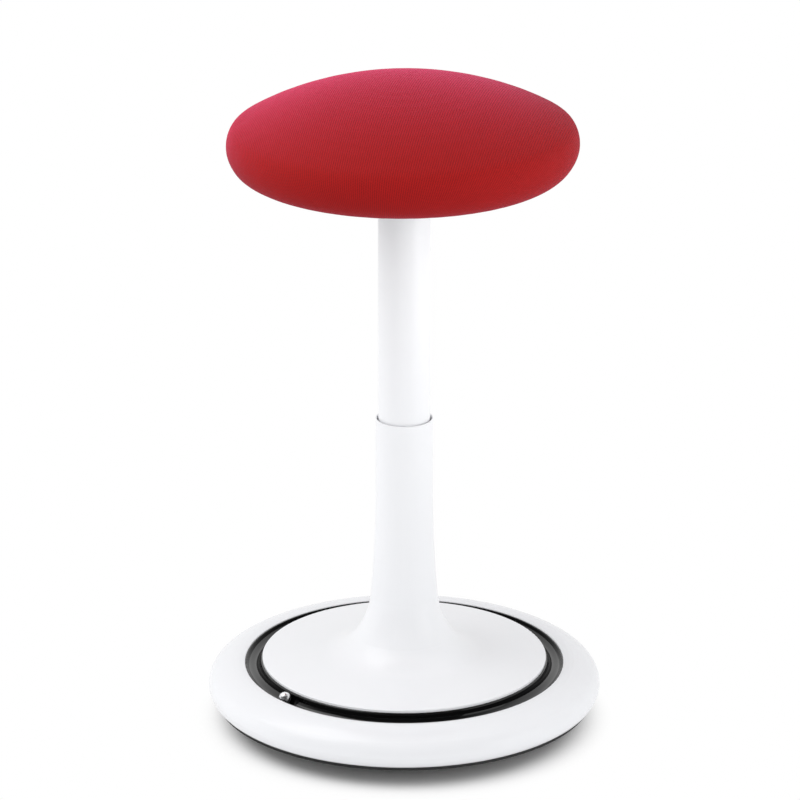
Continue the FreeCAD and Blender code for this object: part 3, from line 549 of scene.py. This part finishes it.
def pucker(piece):
    """Small uneven gathers, deepest at the hem and gone at the cushion's edge.

    A wave has its share, its count round the hem, and how far, how often and from where it
    drifts."""
    for vertex in piece.data.vertices:
        radius = math.hypot(vertex.co.x, vertex.co.y)
        if vertex.co.z > hem_middle + pucker_top or radius > hem_radius + pucker_reach:
            continue
        fade = min(1.0, 1.0 - (radius - hem_radius) / pucker_reach) ** pucker_fade
        turn = math.atan2(vertex.co.y, vertex.co.x)
        wave = 0.0
        for share, count, drift, drifts, first in pucker_waves:
            wave += share * math.sin(count * turn + drift * math.sin(drifts * turn + first))
        vertex.co.z += pucker_depth * fade * wave


def flatten_cloth(piece, section):
    """UV map in metres: distance along the section from the crown, spread round its direction."""
    lengths = [0.0]
    for here, there in zip(section, section[1:]):
        lengths.append(lengths[-1] + math.dist(here, there))
    mesh = piece.data
    layer = mesh.uv_layers.new(name="cloth")
    spots = []
    for vertex in mesh.vertices:
        place = (math.hypot(vertex.co.x, vertex.co.y), vertex.co.z)
        nearest = min(range(len(section)), key=lambda i: math.dist(section[i], place))
        best = lengths[nearest]
        near = section[nearest]
        for other in (nearest - 1, nearest + 1):
            if 0 <= other < len(section):
                edge = (section[other][0] - near[0], section[other][1] - near[1])
                size = math.hypot(*edge)
                part = ((place[0] - near[0]) * edge[0] + (place[1] - near[1]) * edge[1]) / size ** 2
                if 0 < part < 1:
                    best = lengths[nearest] + part * (lengths[other] - lengths[nearest])
        share = best / place[0] if place[0] > near_axis else 1.0
        spots.append((vertex.co.x * share, vertex.co.y * share))
    for loop in mesh.loops:
        layer.data[loop.index].uv = spots[loop.vertex_index]


cover_outside = cushion_section(-cover_fullness)
cover_floor = cover_outside[-1][1]
former = lathe("cover_former", cover_outside + [(0.0, cover_floor)])
start_section = cushion_section(cover_start_inset)
cover = lathe("seat_cushion_cover", start_section + [(0.0, start_section[-1][1])])
cover.data.remesh_voxel_size = voxel
bpy.ops.object.voxel_remesh()
swell(cover)
apply_modifier(cover, "SUBSURF", levels=1, render_levels=1)
apply_modifier(cover, "SMOOTH", factor=smoothing, iterations=smoothing_rounds)
everywhere = cover.vertex_groups.new(name="taut")
everywhere.add(range(len(cover.data.vertices)), tautness, "REPLACE")
apply_modifier(cover, "SHRINKWRAP", target=former, vertex_group="taut")
cover.vertex_groups.clear()
open_underneath(cover)
apply_modifier(cover, "SOLIDIFY", thickness=cover_thickness, offset=-1.0)
bpy.data.objects.remove(former)
bpy.ops.object.select_all(action="DESELECT")
bpy.ops.mesh.primitive_torus_add(major_segments=hem_steps, minor_segments=hem_sides,
                                 major_radius=hem_radius, minor_radius=hem_tube,
                                 location=(0, 0, hem_middle))
bpy.ops.object.transform_apply(location=True)
cover.select_set(True)
bpy.context.view_layer.objects.active = cover
bpy.ops.object.join()
flatten_cloth(cover, cover_outside + [(hem_radius, cover_floor)])
lean(cover)
pucker(cover)
bpy.ops.object.shade_smooth()


def make_weave():
    """Two-and-one twill: threads that cross over two and under one, each row one step along."""
    inputs = [("Vector", "NodeSocketVector", None), ("Pitch", "NodeSocketFloat", 0.001)]
    group, given, output = new_pattern("twill_weave", inputs)
    parts = put(group, "SeparateXYZ", {0: given["Vector"]}).outputs
    across = math_node(group, "DIVIDE", parts[0], given["Pitch"])
    along = math_node(group, "DIVIDE", parts[1], given["Pitch"])
    step = math_node(group, "SUBTRACT", math_node(group, "FLOOR", across),
                     math_node(group, "FLOOR", along))
    under = math_node(group, "LESS_THAN", math_node(group, "FLOORED_MODULO", step, 3.0), 0.5)
    warp = math_node(group, "SINE", math_node(group, "MULTIPLY",
                                              math_node(group, "FRACT", across), math.pi))
    weft = math_node(group, "SINE", math_node(group, "MULTIPLY",
                                              math_node(group, "FRACT", along), math.pi))
    raised = math_node(group, "MULTIPLY_ADD", warp, 0.4, 0.6)
    lowered = math_node(group, "MULTIPLY", weft, 0.15)
    height = put(group, "Mix", {0: under, 2: raised, 3: lowered}).outputs[0]
    fuzz = put(group, "TexNoise", {"Vector": given["Vector"], "Scale": 2600.0, "Detail": 2.0})
    slub = put(group, "TexNoise", {"Vector": given["Vector"], "Scale": 60.0, "Detail": 4.0})
    # The tone follows the threads' height, so the lower threads and the gaps between them take the
    # dark colour: painted shade between the threads, on top of the yarn's own fuzz and slub.
    tone = math_node(group, "MULTIPLY_ADD", fuzz.outputs["Fac"], 0.25,
                     math_node(group, "MULTIPLY", height, 0.7))
    tone = math_node(group, "MULTIPLY_ADD", slub.outputs["Fac"], 0.1, tone)
    return end_pattern(group, output, tone, height)


def cloth_place(tree):
    """The cloth's own flat coordinates, turned so that the twill runs nearly front to back."""
    flat = put(tree, "UVMap", uv_map="cloth").outputs[0]
    turn = (0.0, 0.0, -math.radians(twill_turn))
    return put(tree, "Mapping", {"Vector": flat, "Rotation": turn}).outputs[0]


# The dark red is partly the yarn's own tone and partly painted shade in the weave's hollows; the
# light red is the raised threads.
red_fabric = surface("red_fabric", make_weave(), {"Pitch": thread_pitch},
                     [(0.11, 0.001, 0.001), (0.43, 0.006, 0.006)], (0.75, 0.9), (0.5, 0.0003),
                     vector=cloth_place,
                     plain={"Sheen Weight": 0.13, "Sheen Roughness": 0.35,
                            "Sheen Tint": (1.0, 0.3, 0.6, 1.0), "Specular IOR Level": 0.2})
# Painted sheen: the base colour turns paler and pinker towards glancing angles, on top and more so
# on the left, where the light falls on it.
red_fabric_nodes = red_fabric.node_tree
cloth_spot = put(red_fabric_nodes, "SeparateXYZ", {0: put(red_fabric_nodes, "TexCoord").outputs["Object"]}).outputs
painted_sheen_height = math_node(red_fabric_nodes, "MULTIPLY_ADD", cloth_spot[0], painted_sheen_lean, cloth_spot[2])
painted_sheen_top = put(red_fabric_nodes, "MapRange", {"Value": painted_sheen_height, "From Min": painted_sheen_start,
                                "From Max": crown_height},
              interpolation_type="SMOOTHSTEP").outputs[0]
glancing = put(red_fabric_nodes, "LayerWeight", {"Blend": 0.5}).outputs["Facing"]
painted_sheen_mask = math_node(red_fabric_nodes, "MULTIPLY", painted_sheen_top, math_node(red_fabric_nodes, "POWER", glancing, painted_sheen_power))
cloth_shader = red_fabric_nodes.nodes["Principled BSDF"]
plain_red = cloth_shader.inputs["Base Color"].links[0].from_socket
painted_sheen_red = put(red_fabric_nodes, "Mix", {0: 1.0, 6: plain_red, 7: painted_sheen_gain}, data_type="RGBA",
              blend_type="MULTIPLY").outputs[2]
red = put(red_fabric_nodes, "Mix", {0: painted_sheen_mask, 6: plain_red, 7: painted_sheen_red}, data_type="RGBA").outputs[2]
red_fabric_nodes.links.new(red, cloth_shader.inputs["Base Color"])
dress(cover, red_fabric, "seat", "red_fabric", "seat_cover")

# Hem cord
# A thin braided elastic cord that runs in the hem of the cover and draws the cloth tight under
# the wooden pan.
cord_fabric = surface("cord_fabric", moulded_grain, {"Scale": 1600.0},
                      [(0.02, 0.02, 0.02), (0.06, 0.06, 0.06)], (0.8, 0.95), (0.6, 0.0004))
wear(cord_fabric, "hem_cord")

# Cover under the seat
# A shallow dish of moulded black plastic that hides the seat plate and its bolts. Four small
# screws hold it up to the wooden pan.
wear(black_plastic, "underside_cover")
wear(zinc_steel, "cover_screws")

# Height lever
# A bent steel bar, painted black, on a pin between two ears of the seat plate. Its end carries
# a moulded plastic grip with finger grooves across it, above and below.
grip_low, grip_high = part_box("lever_grip")
finger_count = 5
finger_first = 0.123
finger_pitch = 0.0045
finger_width = 0.0018
finger_depth = 0.0006
grip_corner = 0.007
grip_corner_steps = 8
grip_edge = 0.0005
grip_edge_steps = 2
grip_edge_angle = math.radians(25)


def grip_outline():
    """The grip's side view: along its underside, up its end and back along the top."""
    low, high = grip_low.z, grip_high.z
    half = finger_width / 2
    under = [(grip_low.y, low)]
    above = [(grip_low.y, high)]
    for i in range(finger_count):
        place = finger_first + i * finger_pitch
        under += [(place - half, low), (place, low + finger_depth), (place + half, low)]
        above += [(place - half, high), (place, high - finger_depth), (place + half, high)]
    return under + [(grip_high.y, low), (grip_high.y, high)] + above[::-1]


def make_grip():
    """The grip's side view made as wide as the grip, with its two end corners rounded."""
    outline = [(grip_low.x, back, height) for back, height in grip_outline()]
    piece = draw_line("lever_grip_moulding", outline + outline[:1])
    bpy.ops.mesh.remove_doubles(threshold=weld_distance)
    bpy.ops.mesh.edge_face_add()
    wide = (grip_high.x - grip_low.x, 0.0, 0.0)
    bpy.ops.mesh.extrude_region_move(TRANSFORM_OT_translate={"value": wide})
    bpy.ops.mesh.select_all(action="SELECT")
    bpy.ops.mesh.normals_make_consistent(inside=False)
    bpy.ops.mesh.select_all(action="DESELECT")
    bpy.ops.mesh.select_mode(type="EDGE")
    bpy.ops.object.mode_set(mode="OBJECT")
    spots = [v.co for v in piece.data.vertices]
    for edge in piece.data.edges:
        first, second = (spots[i] for i in edge.vertices)
        at_end = min(first.y, second.y) > grip_high.y - grip_edge
        edge.select = at_end and abs(first.x - second.x) < grip_edge
    bpy.ops.object.mode_set(mode="EDIT")
    bpy.ops.mesh.bevel(offset=grip_corner, segments=grip_corner_steps)
    bpy.ops.object.mode_set(mode="OBJECT")
    apply_modifier(piece, "BEVEL", width=grip_edge, segments=grip_edge_steps,
                   limit_method="ANGLE", angle_limit=grip_edge_angle)
    bpy.ops.object.shade_smooth_by_angle(angle=smooth_angle)
    return piece


lever_steel = surface("lever_steel", moulded_grain, {"Scale": 600.0},
                      [(0.015, 0.015, 0.015), (0.035, 0.035, 0.035)], (0.35, 0.5), (0.2, 0.0002))
grip_plastic = surface("grip_plastic", moulded_grain, {"Scale": 1800.0},
                       [(0.014, 0.014, 0.014), (0.028, 0.028, 0.029)], (0.4, 0.55), (0.35, 0.0002))
wear(lever_steel, "release_lever")
wear(zinc_steel, "lever_pin")
dress(make_grip(), grip_plastic, "height_lever", "grip_plastic", "lever_grip")

# Floor
# A wide white sheet under the stool. It keeps the shadow near the base and is plain white
# further out.
floor_size = 16.0
shadow_inside = 0.155
shadow_outside = 0.205
shadow_middle = (0.0, -0.012, 0.0)
bpy.ops.object.select_all(action="DESELECT")
bpy.ops.mesh.primitive_plane_add(size=floor_size)
floor = bpy.context.object
floor.name = "floor"
floor_white = surface("floor_white", gloss_lacquer, {"Wave Scale": 5.0},
                      [(0.94, 0.94, 0.94), (0.95, 0.95, 0.95)], (0.9, 0.95), (0.0, 0.0001),
                      plain={"Specular IOR Level": 0.0})


def seen_ray(tree):
    """1 for rays that show a thing to the camera, straight or in a mirror, and 0 for light."""
    path = put(tree, "LightPath").outputs
    seen = math_node(tree, "MAXIMUM", path["Is Camera Ray"], path["Is Glossy Ray"])
    return math_node(tree, "MAXIMUM", seen, path["Is Transmission Ray"])


sheet = floor_white.node_tree
sheet_place = put(sheet, "TexCoord").outputs["Object"]
from_middle = put(sheet, "VectorMath", {0: sheet_place, 1: shadow_middle},
                  operation="DISTANCE").outputs["Value"]
clear = put(sheet, "MapRange", {"Value": from_middle, "From Min": shadow_inside,
                                "From Max": shadow_outside},
            interpolation_type="SMOOTHSTEP").outputs[0]
glow = put(sheet, "Emission", {"Color": (1.0, 1.0, 1.0, 1.0), "Strength": 1.0}).outputs[0]
shown_white = math_node(sheet, "MULTIPLY", clear, seen_ray(sheet))
sheet_look = put(sheet, "MixShader", {0: shown_white}).inputs
sheet.links.new(sheet.nodes["Principled BSDF"].outputs[0], sheet_look[1])
sheet.links.new(glow, sheet_look[2])
sheet.links.new(sheet_look[0].node.outputs[0], sheet.nodes["Material Output"].inputs["Surface"])
floor.data.materials.append(floor_white)

# Light and camera
# A white room, which gloss surfaces mirror as dark behind the camera. A soft light hangs above,
# a soft box stands high on the left, and two weak ones on the right light column and seat.
room_light = 0.665
room_sides = 0.6
room_slope = (0.0, -0.175, 0.0)
dark_side = 0.06
dark_side_ends = (-0.5, 0.35)
sun_strength = 0.2
sun_spread = 60.0
sun_from = Vector((-0.1, -0.05, 0.99))
box_power = 3.0
box_width = 0.8
box_place = Vector((-0.62, -0.12, 1.0))
box_aim = Vector((0.0, 0.0, 0.06))
box_spread = 180.0
side_power = 0.42
side_width = 0.7
side_place = Vector((0.95, -0.5, 0.42))
side_aim = Vector((0.0, 0.0, 0.42))
side_spread = 80.0
seat_power = 0.22
seat_width = 0.5
seat_place = Vector((0.95, -0.45, 0.72))
seat_aim = Vector((0.0, 0.0, 0.62))
seat_spread = 32.0
camera_place = (-0.0041, -4.5, 1.952)
camera_pitch = 19.89
focal_pixels = 4992.0
image_pixels = 800.0

world = bpy.data.worlds.new("room")
bpy.context.scene.world = world
world.use_nodes = True
sky = world.node_tree
backdrop = sky.nodes["Background"]
toward = put(sky, "TexCoord").outputs["Generated"]
slope = put(sky, "VectorMath", {0: toward, 1: room_slope}, operation="DOT_PRODUCT").outputs["Value"]
parts = put(sky, "SeparateXYZ", {0: toward}).outputs
sides = math_node(sky, "MULTIPLY", math_node(sky, "MULTIPLY", parts[0], parts[0]), room_sides)
ambient = math_node(sky, "ADD", math_node(sky, "ADD", slope, sides), room_light)
mirrored = put(sky, "MapRange", {"Value": parts[1], "From Min": dark_side_ends[0],
                                 "From Max": dark_side_ends[1], "To Min": dark_side,
                                 "To Max": 1.0}, interpolation_type="SMOOTHSTEP").outputs[0]
straight = put(sky, "LightPath").outputs["Is Camera Ray"]
seen = put(sky, "Mix", {0: straight, 2: mirrored, 3: 1.0}).outputs[0]
strength = put(sky, "Mix", {0: seen_ray(sky), 2: ambient, 3: seen}).outputs[0]
backdrop.inputs["Color"].default_value = (1.0, 1.0, 1.0, 1.0)
sky.links.new(strength, backdrop.inputs["Strength"])

bpy.ops.object.light_add(type="SUN")
sun = bpy.context.object
sun.data.energy = sun_strength
sun.data.angle = math.radians(sun_spread)
sun.rotation_euler = (-sun_from).to_track_quat("-Z", "Y").to_euler()

boxes = [(box_power, box_width, box_spread, box_place, box_aim),
         (side_power, side_width, side_spread, side_place, side_aim),
         (seat_power, seat_width, seat_spread, seat_place, seat_aim)]
for power, width, spread, place, aim in boxes:
    bpy.ops.object.light_add(type="AREA", location=place)
    soft_box = bpy.context.object
    soft_box.data.size = width
    soft_box.data.energy = power
    soft_box.data.spread = math.radians(spread)
    soft_box.rotation_euler = (aim - place).to_track_quat("-Z", "Y").to_euler()

bpy.ops.object.camera_add(location=camera_place)
camera = bpy.context.object
camera.rotation_euler = (math.radians(90.0 - camera_pitch), 0.0, 0.0)
camera.data.lens = focal_pixels / image_pixels * camera.data.sensor_width
bpy.context.scene.camera = camera
bpy.context.scene.view_settings.view_transform = "Standard"
